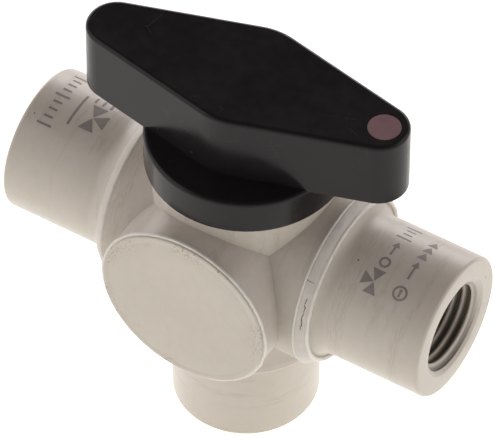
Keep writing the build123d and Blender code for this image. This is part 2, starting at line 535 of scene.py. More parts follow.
@dataclass(frozen=True)
class BorePlastic(Plastic):
    """Sleeve plastic with painted shade that darkens the roots of its thread."""

    # Colour of the painted shade in the thread's roots.
    root_shade_color: tuple[float, float, float] = (0.12, 0.098, 0.070)
    crest_radius: float = 5.8 * MM
    root_radius: float = 6.35 * MM
    bore_limit: float = 6.7 * MM
    lead_in: float = 0.55 * MM
    lead_in_fade: float = 0.2 * MM

    def tint(
        self, tree: Tree, place: bpy.types.NodeSocket, color: bpy.types.NodeSocket
    ) -> bpy.types.NodeSocket:
        """Paint shade into the roots of the thread, inside the lead-in.

        Args:
            tree: The material's tree.
            place: Object coordinates.
            color: The colour so far.

        Returns:
            The darkened colour.
        """
        along_x = self.rings is Axis.X
        low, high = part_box("right_port_sleeve" if along_x else "bottom_port_sleeve")
        mouth = high.x if along_x else -low.z
        across = tree.add("Mapping")
        across.inputs["Location"].default_value = (0.0, 0.0, -ball_centre().z if along_x else 0.0)
        across.inputs["Scale"].default_value = (0.0, 1.0, 1.0) if along_x else (1.0, 1.0, 0.0)
        tree.join(place, across.inputs["Vector"])
        length = tree.add("VectorMath", operation="LENGTH")
        tree.join(across.outputs[0], length.inputs[0])
        radius = length.outputs["Value"]
        parts = tree.add("SeparateXYZ")
        tree.join(place, parts.inputs[0])
        if along_x:
            reach = tree.math("ABSOLUTE", parts.outputs["X"])
        else:
            reach = tree.math("MULTIPLY", parts.outputs["Z"], -1.0)
        edge = mouth - self.lead_in
        deep = tree.ramp(reach, edge - self.lead_in_fade, edge + self.lead_in_fade, 1.0, 0.0)
        # Painted shade: darker towards the thread's roots, past the lead-in and only inside the bore.
        root = tree.ramp(radius, self.crest_radius, self.root_radius, 0.05, 0.85)
        inside = tree.ramp(radius, self.bore_limit, self.bore_limit + 0.1 * MM, 1.0, 0.0)
        share = tree.math("MULTIPLY", tree.math("MULTIPLY", deep, root), inside)
        return tree.mix(share, color, (*self.root_shade_color, 1))


@dataclass(frozen=True)
class CapPlastic(Plastic):
    """Cap plastic with a little brown dirt caught near its rim."""

    dirt_color: tuple[float, float, float] = (0.30, 0.22, 0.14)
    dirt_start: float = 9.2 * MM
    dirt_end: float = 12.2 * MM
    dirt_strength: float = 0.95

    def tint(
        self, tree: Tree, place: bpy.types.NodeSocket, color: bpy.types.NodeSocket
    ) -> bpy.types.NodeSocket:
        """Add smudges and grains of dirt that thicken towards the rim.

        Args:
            tree: The material's tree.
            place: Object coordinates.
            color: The colour so far.

        Returns:
            The soiled colour.
        """
        across = tree.add("Mapping")
        across.inputs["Location"].default_value = (0.0, 0.0, -ball_centre().z)
        across.inputs["Scale"].default_value = (1.0, 0.0, 1.0)
        tree.join(place, across.inputs["Vector"])
        length = tree.add("VectorMath", operation="LENGTH")
        tree.join(across.outputs[0], length.inputs[0])
        near_rim = tree.ramp(length.outputs["Value"], self.dirt_start, self.dirt_end)
        patches = tree.ramp(tree.noise(place, 210.0, 1.0), 0.48, 0.66)
        grains = tree.ramp(tree.noise(place, 2600.0, 3.0, 0.7), 0.5, 0.64)
        share = tree.math("MULTIPLY", tree.math("MULTIPLY", near_rim, patches), grains)
        return tree.mix(tree.math("MULTIPLY", share, self.dirt_strength), color, (*self.dirt_color, 1))


PEBBLE_LIGHT = (0.605, 0.550, 0.482)
PEBBLE_DARK = (0.545, 0.492, 0.428)
SLEEVE_DARK = (0.570, 0.518, 0.450)
FINISHES = {
    "body": Plastic(
        "moulded_pebble_plastic", PEBBLE_LIGHT, PEBBLE_DARK, 0.38, 0.03, glow=0.2, sheen=0.35,
        speck_share=0.012, streak_along=Axis.X,
    ),
    # The sleeve finishes carry painted shade in their thread roots.
    "side_sleeve": BorePlastic(
        "turned_pebble_plastic_x", PEBBLE_LIGHT, SLEEVE_DARK, 0.31, 0.015, glow=0.2, sheen=0.35,
        speck_share=0.008, rings=Axis.X, streak_along=Axis.X, grain_depth=0.0012 * MM,
    ),
    "bottom_sleeve": BorePlastic(
        "turned_pebble_plastic_z", PEBBLE_LIGHT, SLEEVE_DARK, 0.31, 0.015, glow=0.2, sheen=0.35,
        speck_share=0.008, rings=Axis.Z, streak_along=Axis.Z, grain_depth=0.0012 * MM,
    ),
    "cap": CapPlastic(
        "capped_pebble_plastic", PEBBLE_LIGHT, SLEEVE_DARK, 0.42, 0.02, glow=0.2, sheen=0.3,
        speck_share=0.01, scratch_color=(0.42, 0.37, 0.31), scratch_strength=0.3,
    ),
    # Pale weld flash: partly the flash's own colour, partly painted highlight along its thin edges.
    "flash": Plastic("weld_flash_plastic", (0.90, 0.86, 0.78), (0.74, 0.69, 0.61), 0.35, glow=0.3, sheen=0.5),
    # Paler than the body: this colour is painted highlight for the light that the weld bands catch.
    "weld": Plastic(
        "weld_band_plastic", (0.74, 0.675, 0.60), (0.62, 0.565, 0.50), 0.36, 0.05, glow=0.2, sheen=0.5,
        speck_share=0.01, streak_along=Axis.X, grain_depth=0.010 * MM,
    ),
    # Near black: painted shade standing in for the shade inside the seam's openings and nick.
    "seam_shade": Plastic("open_seam_plastic", (0.05, 0.045, 0.04), (0.03, 0.028, 0.025), 0.8),
    "ball": Plastic(
        "polished_ball_plastic", (0.60, 0.56, 0.50), (0.55, 0.51, 0.45), 0.25, grain_depth=0.001 * MM
    ),
    "seat": Plastic("waxy_seat_plastic", (0.84, 0.84, 0.81), (0.78, 0.78, 0.75), 0.35, glow=0.2),
    "rubber": Plastic("seal_rubber", (0.035, 0.032, 0.03), (0.022, 0.02, 0.019), 0.55, specular=0.4),
    "stem": Plastic("turned_stem_plastic", (0.58, 0.54, 0.47), (0.52, 0.48, 0.42), 0.38, rings=Axis.Z),
    "handle": Plastic(
        "black_handle_plastic", (0.0162, 0.0140, 0.0152), (0.0128, 0.0112, 0.0122), 0.2, 0.04,
        specular=0.21, speck_color=(0.20, 0.19, 0.18), speck_share=0.010, speck_scale=1100.0,
        scratch_color=(0.07, 0.07, 0.07), scratch_strength=0.45, grain_depth=0.002 * MM,
    ),
    "dot": Plastic(
        "mauve_dot_plastic", (0.205, 0.098, 0.108), (0.165, 0.080, 0.092), 0.42, grain_depth=0.006 * MM
    ),
    "mark": Plastic("laser_mark", (0.300, 0.268, 0.246), (0.222, 0.198, 0.182), 0.5, grain_depth=0.01 * MM),
}


# ---------------------------------------------------------------- mesh helpers


def sharp_shade(mesh: bmesh.types.BMesh, limit_degrees: float = 32.0) -> None:
    """Smooth every face, and keep edges sharper than a limit crisp.

    Args:
        mesh: The shape.
        limit_degrees: The bend from which an edge stays crisp.
    """
    limit = math.radians(limit_degrees)
    for face in mesh.faces:
        face.smooth = True
    for edge in mesh.edges:
        edge.smooth = len(edge.link_faces) == 2 and edge.calc_face_angle(0.0) < limit


def add_piece(
    name: str, mesh: bmesh.types.BMesh, place: Matrix, body: str, finish: bpy.types.Material
) -> bpy.types.Object:
    """Turn a bmesh into a finished piece that rides on a body.

    Args:
        name: The piece's name.
        mesh: The shape, in its own arm's coordinates. It is freed here.
        place: Placement into the object.
        body: The CAD body that the piece rides on.
        finish: The piece's material.

    Returns:
        The new object, at the origin, with its place in its mesh.
    """
    mesh.transform(place)
    data = bpy.data.meshes.new(name)
    mesh.to_mesh(data)
    mesh.free()
    data.materials.append(finish)
    piece = bpy.data.objects.new(name, data)
    bpy.context.scene.collection.objects.link(piece)
    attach(piece, body)
    LOG.info("%s: %d faces on %s", name, len(data.polygons), body)
    return piece


def chain(
    mesh: bmesh.types.BMesh, points: list[tuple[float, float]], closed: bool = True
) -> list[bmesh.types.BMEdge]:
    """Draw a half section as edges.

    Args:
        mesh: The shape to draw in.
        points: Radius and height of each corner.
        closed: Whether the last corner joins the first.

    Returns:
        The edges in order.
    """
    verts = [mesh.verts.new((radius, 0.0, height)) for radius, height in points]
    pairs = list(zip(verts, verts[1:]))
    if closed:
        pairs.append((verts[-1], verts[0]))
    return [mesh.edges.new(pair) for pair in pairs]


def turn_profile(points: list[tuple[float, float]], steps: int, closed: bool = True) -> bmesh.types.BMesh:
    """Spin a half section about Z into a closed ring or a solid.

    Args:
        points: Radius and height of each corner of the section.
        steps: Faces round the turn.
        closed: Whether the section is a ring's. An open one ends on the axis.

    Returns:
        The turned shape, with its faces outward.
    """
    mesh = bmesh.new()
    edges = chain(mesh, points, closed)
    geometry = list(mesh.verts) + edges
    bmesh.ops.spin(
        mesh, geom=geometry, cent=(0, 0, 0), axis=(0, 0, 1), dvec=(0, 0, 0),
        angle=2 * math.pi, steps=steps, use_merge=True, use_duplicate=False,
    )
    bmesh.ops.remove_doubles(mesh, verts=mesh.verts, dist=0.0005 * MM)
    bmesh.ops.recalc_face_normals(mesh, faces=mesh.faces)
    return mesh


def arc(
    centre: tuple[float, float], radius: float, start: float, end: float, steps: int
) -> list[tuple[float, float]]:
    """Points along an arc in a half section, between two angles in degrees."""
    angles = [math.radians(start + (end - start) * step / steps) for step in range(steps + 1)]
    return [(centre[0] + radius * math.cos(a), centre[1] + radius * math.sin(a)) for a in angles]


def soft_noise(point: Vector, size: float) -> float:
    """Smooth noise from -1 to 1 with clouds of about a given size."""
    return noise.noise(point / size)


def turn_of(vert: bmesh.types.BMVert) -> float:
    """Angle of a vertex about the arm's axis, in radians."""
    return math.atan2(vert.co.y, vert.co.x)


def set_radius(vert: bmesh.types.BMVert, radius: float) -> None:
    """Move a vertex straight out from the arm's axis to a radius.

    Args:
        vert: The vertex, in its arm's coordinates.
        radius: Its new distance from the axis.
    """
    scale = radius / math.hypot(vert.co.x, vert.co.y)
    vert.co.x *= scale
    vert.co.y *= scale


# ---------------------------------------------------------------- housing


@dataclass(frozen=True)
class BandShape:
    """Section of a side arm's weld band, which falls from the arm and ends 0.3 mm past the weld."""

    start: float = 14.8 * MM
    end: float = 16.2 * MM
    arm_radius: float = 12.5 * MM
    rise: float = 0.04 * MM
    rise_rate: float = 9.0
    fall: float = 0.84 * MM
    curve: float = 1.3

    def radius(self, reach: float) -> float:
        """Radius of the band at a place along the arm.

        Args:
            reach: Distance from the ball's centre.

        Returns:
            The radius there.
        """
        share = min(1.0, max(0.0, (reach - self.start) / (self.end - self.start)))
        lift = self.rise * min(1.0, self.rise_rate * share)
        return self.arm_radius + lift - self.fall * share ** self.curve

    @property
    def lean(self) -> float:
        """Slope of the band where it meets the sleeve, in degrees."""
        return math.degrees(math.atan(self.fall * self.curve / (self.end - self.start)))


BAND = BandShape()


@dataclass
class BodyShell:
    """The moulded body, with a sloped weld band on each side arm and a soft bead round the bottom one."""

    finish: bpy.types.Material
    arm_radius: float = 12.5 * MM
    band_width: float = 1.4 * MM
    bead_height: float = 0.15 * MM
    bead_shoulder: float = 0.9 * MM
    bead_wander: float = 0.035 * MM
    bead_clump: float = 2.2 * MM
    slices: int = 9
    crisp_degrees: float = 26.0

    def slice_band(self, mesh: bmesh.types.BMesh, arm: Arm, start: float, weld: float) -> None:
        """Cut the band round an arm into rings, so that it can take a curved section.

        Args:
            mesh: The body.
            arm: The arm to cut.
            start: Where the band starts, from the ball's centre.
            weld: Where the band ends.
        """
        place = arm_matrix(arm)
        normal = (place.to_3x3() @ Vector((0.0, 0.0, 1.0))).normalized()
        for step in range(1, self.slices):
            reach = start + (weld - start) * step / self.slices
            geometry = list(mesh.verts) + list(mesh.edges) + list(mesh.faces)
            point = place @ Vector((0.0, 0.0, reach))
            bmesh.ops.bisect_plane(mesh, geom=geometry, dist=0.002 * MM, plane_co=point, plane_no=normal)

    def bead_radius(self, local: Vector, start: float, weld: float) -> float:
        """Radius of the bottom arm's bead, whose height wanders like a real weld.

        Args:
            local: A point of the bead, in the arm's coordinates.
            start: Where the bead starts, from the ball's centre.
            weld: Where the bead ends.

        Returns:
            The radius there.
        """
        rise = min(1.0, max(0.0, (local.z - start) / self.bead_shoulder))
        wander = soft_noise(Vector((local.x, local.y, 3.0 * local.z)), self.bead_clump) * self.bead_wander
        kept = 1.0 if local.z < weld - NEAR else 0.0
        return self.arm_radius + self.bead_height * rise * (2 - rise) + wander * rise * kept

    def shape_band(self, mesh: bmesh.types.BMesh, arm: Arm, start: float, weld: float) -> None:
        """Move the band's rings to its section.

        Args:
            mesh: The body.
            arm: The arm to shape.
            start: Where the band starts, from the ball's centre.
            weld: Where the band ends.
        """
        place = arm_matrix(arm)
        back = place.inverted()
        for vert in mesh.verts:
            local = back @ vert.co
            radius = math.hypot(local.x, local.y)
            if radius < self.arm_radius - NEAR or not start - 2 * NEAR <= local.z <= weld + NEAR:
                continue
            if arm is Arm.BOTTOM:
                target = self.bead_radius(local, start, weld)
            else:
                target = BAND.radius(local.z)
            moved = Vector((local.x * target / radius, local.y * target / radius, local.z))
            vert.co = place @ moved

    def build(self) -> bpy.types.Object:
        """Make the body from a merged copy of its CAD node.

        Returns:
            The new piece.
        """
        mesh = bmesh.new()
        mesh.from_mesh(frame["nodes"]["valve_body"].data)
        bmesh.ops.remove_doubles(mesh, verts=mesh.verts, dist=0.001 * MM)
        for arm in (Arm.RIGHT, Arm.LEFT, Arm.BOTTOM):
            weld = arm_reach(arm, f"{arm.word}_port_sleeve")[1] - PortSleeve.length
            start = weld - self.band_width
            self.slice_band(mesh, arm, start, weld)
            self.shape_band(mesh, arm, start, weld)
        sharp_shade(mesh, self.crisp_degrees)
        piece = add_piece("moulded_body", mesh, Matrix.Identity(4), HOUSING, self.finish)
        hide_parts("valve_body")
        return piece


@dataclass
class WeldBead:
    """Thin bright line of squeezed-out plastic along one edge of a weld band, a little uneven; its pale
    colour is partly the flash's own, partly painted highlight.
    """

    arm: Arm
    word: str
    finish: bpy.types.Material
    reach: float
    radius: float
    half_width: float = 0.17 * MM
    wander: float = 0.03 * MM
    clump: float = 2.0 * MM
    drift_clump: float = 1.3 * MM
    drift_share: float = 0.6
    steps: int = 160

    def build(self) -> bpy.types.Object:
        """Turn the bead's round section about the arm, then let it wander.

        Returns:
            The new piece.
        """
        section = arc((self.radius, self.reach), self.half_width, 0, 300, 5)
        mesh = turn_profile(section, self.steps)
        for vert in mesh.verts:
            ring = Vector((math.cos(turn_of(vert)), math.sin(turn_of(vert)), 0.0)) * self.radius
            dip = soft_noise(ring + Vector((0.0, 0.0, self.reach)), self.clump) * self.wander
            set_radius(vert, math.hypot(vert.co.x, vert.co.y) + dip)
            vert.co.z += soft_noise(ring, self.drift_clump) * self.drift_share * self.wander
        sharp_shade(mesh, 80.0)
        name = f"{self.arm.word}_{self.word}_weld_bead"
        piece = add_piece(name, mesh, arm_matrix(self.arm), HOUSING, self.finish)
        return piece


@dataclass
class WeldBand:
    """The uneven skin of remelted plastic that covers a weld band, paler than the body as painted highlight.
    """

    arm: Arm
    finish: bpy.types.Material
    depth: float = 0.16 * MM
    proud: float = 0.06 * MM
    wander: float = 0.03 * MM
    clump: float = 1.1 * MM
    near_fade: float = 6.0
    far_fade: float = 3.0
    slices: int = 12
    steps: int = 240

    def build(self) -> bpy.types.Object:
        """Turn the skin's thin section about the arm, then ripple its outer face.

        Returns:
            The new piece.
        """
        width = BAND.end - BAND.start
        reaches = [BAND.start + width * step / self.slices for step in range(self.slices + 1)]
        section = [(BAND.radius(reach) + self.proud, reach) for reach in reaches]
        section += [(BAND.radius(reach) + self.proud - self.depth, reach) for reach in reversed(reaches)]
        mesh = turn_profile(section, self.steps)
        for vert in mesh.verts:
            radius = math.hypot(vert.co.x, vert.co.y)
            if radius > BAND.radius(vert.co.z):
                share = (vert.co.z - BAND.start) / width
                edge = min(1.0, self.near_fade * share, self.far_fade * (1.0 - share))
                ripple = soft_noise(vert.co, self.clump) * self.wander
                set_radius(vert, radius + ripple * edge - (1.0 - edge) * self.proud)
        sharp_shade(mesh, 60.0)
        piece = add_piece(f"{self.arm.word}_weld_band", mesh, arm_matrix(self.arm), HOUSING, self.finish)
        return piece


@dataclass
class PortSleeve:
    """A welded port sleeve with a G 1/4 female thread."""

    arm: Arm
    finish: bpy.types.Material
    band_radius: float = 12.65 * MM
    flare_radius: float = 3.7 * MM
    band_round: float = 0.6 * MM
    band_lean: float = 0.0
    length: float = 16.2 * MM
    barrel_radius: float = 10.0 * MM
    mouth_round: float = 0.3 * MM
    rim_round: float = 0.5 * MM
    mouth_radius: float = 7.05 * MM
    crest_radius: float = 5.72 * MM
    root_radius: float = 6.579 * MM
    pitch: float = INCH / 19
    thread_length: float = 11.0 * MM
    drill_point_half_angle: float = 59.0
    lead_in_slope: float = 1.4
    first_crest: float = 1.24 * MM
    crest_flat: float = 0.16
    root_flat: float = 0.14
    flow_radius: float = 4.0 * MM
    pocket_radius: float = 6.85 * MM
    pocket_depth: float = 2.2 * MM
    spigot_radius: float = 8.75 * MM
    rows_per_turn: int = 16
    steps: int = 144

    def section(self, near: float, far: float) -> tuple[list[tuple[float, float]], float, float]:
        """Half section of the sleeve, with dense rows where the thread goes.

        Args:
            near: Distance of the spigot's end from the ball's centre.
            far: Distance of the mouth from the ball's centre.

        Returns:
            The section's points, and the heights between which the thread lies.
        """
        weld = far - self.length
        lean = math.radians(self.band_lean)
        band_centre = (
            self.band_radius - self.band_round * math.cos(lean), weld - self.band_round * math.sin(lean)
        )
        flare_rise = band_centre[0] - self.barrel_radius
        turn = math.acos((self.flare_radius - flare_rise) / (self.flare_radius + self.band_round))
        flare_end = band_centre[1] + (self.flare_radius + self.band_round) * math.sin(turn)
        flare_centre = (self.barrel_radius + self.flare_radius, flare_end)
        turn = math.degrees(turn)
        rim_centre = (self.barrel_radius - self.rim_round, far - self.rim_round)
        thread_top = far - (self.mouth_radius - self.crest_radius)
        thread_floor = thread_top - self.thread_length
        relief = (self.root_radius - self.flow_radius) / math.tan(math.radians(self.drill_point_half_angle))
        rows = int(self.rows_per_turn * (far - thread_floor) / self.pitch)
        step = (far - 0.1 * MM - thread_floor) / rows
        points = [(self.spigot_radius, near), (self.spigot_radius, weld), (self.band_radius, weld)]
        points += arc(band_centre, self.band_round, self.band_lean, turn, 6)[1:-1]
        points += arc(flare_centre, self.flare_radius, 180 + turn, 180, 16)
        points += arc(rim_centre, self.rim_round, 0, 90, 6)
        corner = self.mouth_radius + self.mouth_round * math.tan(math.radians(22.5))
        mouth = arc((corner, far - self.mouth_round), self.mouth_round, 90, 135, 4)
        points += mouth
        rows_top = mouth[-1][1] - step / 2
        points += [(self.crest_radius, rows_top - step * row) for row in range(rows)]
        points += [(self.flow_radius, thread_floor - relief), (self.flow_radius, near + self.pocket_depth)]
        points += [(self.pocket_radius, near + self.pocket_depth), (self.pocket_radius, near)]
        return points, thread_floor, far

    def cut_thread(self, mesh: bmesh.types.BMesh, floor: float, far: float) -> None:
        """Move the bore's rows out into a round-crested helix, cut back by the mouth's lead-in.

        Args:
            mesh: The sleeve, in its arm's coordinates.
            floor: Height of the thread's end.
            far: Height of the mouth.
        """
        depth = self.root_radius - self.crest_radius
        for vert in mesh.verts:
            radius = math.hypot(vert.co.x, vert.co.y)
            if abs(radius - self.crest_radius) > NEAR or not floor - NEAR <= vert.co.z <= far:
                continue
            turn = math.atan2(vert.co.y, vert.co.x) / (2 * math.pi)
            phase = ((far - vert.co.z - self.first_crest) / self.pitch + turn) % 1.0
            from_crest = 1 - 2 * abs(phase - 0.5)
            flank = (from_crest - self.crest_flat) / (1 - self.crest_flat - self.root_flat)
            flank = min(1.0, max(0.0, flank))
            lead_in = self.mouth_radius - self.lead_in_slope * (far - vert.co.z)
            runout = min(1.0, max(0.0, (vert.co.z - floor) / self.pitch))
            helix = self.crest_radius + depth * (0.7 * flank + 0.3 * flank * flank * (3 - 2 * flank))
            set_radius(vert, max(lead_in, helix * runout + self.root_radius * (1 - runout)))

    def build(self) -> bpy.types.Object:
        """Make the sleeve in place of its CAD node.

        Returns:
            The new piece.
        """
        node = f"{self.arm.word}_port_sleeve"
        near, far = arm_reach(self.arm, node)
        points, floor, top = self.section(near, far)
        mesh = turn_profile(points, self.steps)
        self.cut_thread(mesh, floor, top)
        sharp_shade(mesh)
        name = f"{self.arm.word}_threaded_sleeve"
        piece = add_piece(name, mesh, arm_matrix(self.arm), HOUSING, self.finish)
        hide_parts(node)
        return piece


@dataclass
class BlankingCap:
    """A welded blank disc, with the thin flash that the weld squeezed out round it."""

    arm: Arm
    finish: bpy.types.Material
    flash_finish: bpy.types.Material
    face_radius: float = 12.35 * MM
    face_thickness: float = 0.45 * MM
    edge_round: float = 0.22 * MM
    witness_radius: float = 11.35 * MM
    witness_depth: float = 0.035 * MM
    spigot_radius: float = 8.75 * MM
    pocket_radius: float = 6.85 * MM
    pocket_depth: float = 2.2 * MM
    core_radius: float = 4.0 * MM
    core_floor: float = 14.0 * MM
    flash_radius: float = 12.72 * MM
    flash_half_width: float = 0.16 * MM
    flash_wander: float = 0.10 * MM
    flash_clump: float = 1.8 * MM
    steps: int = 160

    def build_cap(self) -> bpy.types.Object:
        """Make the cap in place of its CAD node.

        Returns:
            The new piece.
        """
        node = f"{self.arm.word}_blanking_cap"
        near, far = arm_reach(self.arm, node)
        weld = far - self.face_thickness
        edge_centre = (self.face_radius - self.edge_round, far - self.edge_round)
        points = [(0.0, self.core_floor), (self.core_radius, self.core_floor)]
        pocket = near + self.pocket_depth
        points += [(self.core_radius, pocket), (self.pocket_radius, pocket)]
        points += [(self.pocket_radius, near), (self.spigot_radius, near)]
        points += [(self.spigot_radius, weld), (self.face_radius - 0.05 * MM, weld)]
        points += arc(edge_centre, self.edge_round, 0, 90, 6)
        for offset, drop in ((0.25, 0.0), (0.1, 0.6), (0.0, 1.0), (-0.1, 0.6), (-0.25, 0.0)):
            points.append((self.witness_radius + offset * MM, far - drop * self.witness_depth))
        points += [(radius * MM, far) for radius in (9.0, 6.0, 3.0)] + [(0.0, far)]
        mesh = turn_profile(points, self.steps, closed=False)
        sharp_shade(mesh)
        piece = add_piece(f"{self.arm.word}_blank_disc", mesh, arm_matrix(self.arm), HOUSING, self.finish)
        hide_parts(node)
        return piece

    def build_flash(self) -> bpy.types.Object:
        """Make the thin uneven fin of weld flash round the cap.

        Returns:
            The new piece.
        """
        far = arm_reach(self.arm, f"{self.arm.word}_blanking_cap")[1]
        weld = far - self.face_thickness
        inner = self.face_radius - 0.1 * MM
        half = self.flash_half_width
        shoulder = self.flash_radius - 0.5 * half
        points = [(inner, weld - half), (shoulder, weld - half), (self.flash_radius, weld)]
        points += [(shoulder, weld + half), (inner, weld + half)]
        mesh = turn_profile(points, self.steps)
        for vert in mesh.verts:
            radius = math.hypot(vert.co.x, vert.co.y)
            if radius > inner + NEAR:
                swell = soft_noise(Vector((vert.co.x, vert.co.y, weld)), self.flash_clump)
                set_radius(vert, radius + swell * self.flash_wander)
        sharp_shade(mesh, 60.0)
        name = f"{self.arm.word}_weld_flash"
        piece = add_piece(name, mesh, arm_matrix(self.arm), HOUSING, self.flash_finish)
        return piece


# ---------------------------------------------------------------- marks


@dataclass
class SurfaceMarks:
    """Thin shapes that lie on a side arm, drawn flat (round the arm by along it) and then wrapped."""

    side: int
    radius: float
    thickness: float = 0.02 * MM
    proud: float = 0.012 * MM
    cuts: int = 5
    on_band: bool = False

    def __post_init__(self) -> None:
        """Start with nothing drawn."""
        self.mesh = bmesh.new()

    def bar(self, around: float, along: float, length: float, width: float, turn: float = 0.0) -> None:
        """Draw a straight stroke.

        Args:
            around: Centre of the stroke, round the arm.
            along: Centre of the stroke, along the arm.
            length: Length of the stroke.
            width: Width of the stroke.
            turn: Turn of the stroke from round the arm, in degrees.
        """
        place = Matrix.Translation((around, along, 0)) @ Matrix.Rotation(math.radians(turn), 4, "Z")
        place @= Matrix.Diagonal((length, width, 1, 1))
        bmesh.ops.create_grid(self.mesh, x_segments=6, y_segments=1, size=0.5, matrix=place)

    def triangle(self, around: float, along: float, size: float, turn: float) -> None:
        """Draw a solid triangle.

        Args:
            around: Centre of the triangle, round the arm.
            along: Centre of the triangle, along the arm.
            size: Distance from its centre to a corner.
            turn: Turn of its point from round the arm, in degrees.
        """
        place = Matrix.Translation((around, along, 0)) @ Matrix.Rotation(math.radians(turn - 90), 4, "Z")
        bmesh.ops.create_circle(self.mesh, segments=3, radius=size, cap_ends=True, matrix=place)

    def ring(self, around: float, along: float, radius: float, width: float) -> None:
        """Draw a thin ring.

        Args:
            around: Centre of the ring, round the arm.
            along: Centre of the ring, along the arm.
            radius: Outer radius.
            width: Width of the ring's line.
        """
        place = Matrix.Translation((around, along, 0))
        made = bmesh.ops.create_circle(self.mesh, segments=36, radius=radius, cap_ends=True, matrix=place)
        face = made["verts"][0].link_faces[0]
        bmesh.ops.inset_region(
            self.mesh, faces=[face], thickness=width, use_boundary=True, use_even_offset=True
        )
        bmesh.ops.delete(self.mesh, geom=[face], context="FACES")

    def arrow(self, around: float, along: float, length: float, width: float, turn: float) -> None:
        """Draw a stroke with a solid head at its far end.

        Args:
            around: Centre of the stroke, round the arm.
            along: Centre of the stroke, along the arm.
            length: Length of the stroke.
            width: Width of the stroke.
            turn: Turn of the arrow from round the arm, in degrees.
        """
        angle = math.radians(turn)
        head = 2.2 * width
        self.bar(around, along, length, width, turn)
        tip = length / 2 + 0.4 * head
        self.triangle(around + tip * math.cos(angle), along + tip * math.sin(angle), head, turn)

    def build(self, name: str, finish: bpy.types.Material) -> bpy.types.Object:
        """Wrap everything drawn onto the arm, and give it a hair of thickness.

        Args:
            name: The piece's name.
            finish: The piece's material.

        Returns:
            The new piece.
        """
        mesh = self.mesh
        triangles = [face for face in mesh.faces if len(face.verts) == 3]
        edges = list({edge for face in triangles for edge in face.edges})
        bmesh.ops.subdivide_edges(mesh, edges=edges, cuts=self.cuts, use_grid_fill=True)
        centre = ball_centre()
        for vert in mesh.verts:
            angle = vert.co.x / self.radius
            outer = (BAND.radius(vert.co.y) if self.on_band else self.radius) + self.proud
            lift = centre.z + outer * math.sin(angle)
            vert.co = Vector((self.side * vert.co.y, outer * math.cos(angle), lift))
        bmesh.ops.recalc_face_normals(mesh, faces=mesh.faces)
        bmesh.ops.solidify(mesh, geom=list(mesh.faces), thickness=self.thickness)
        bmesh.ops.recalc_face_normals(mesh, faces=mesh.faces)
        piece = add_piece(name, mesh, Matrix.Identity(4), HOUSING, finish)
        return piece


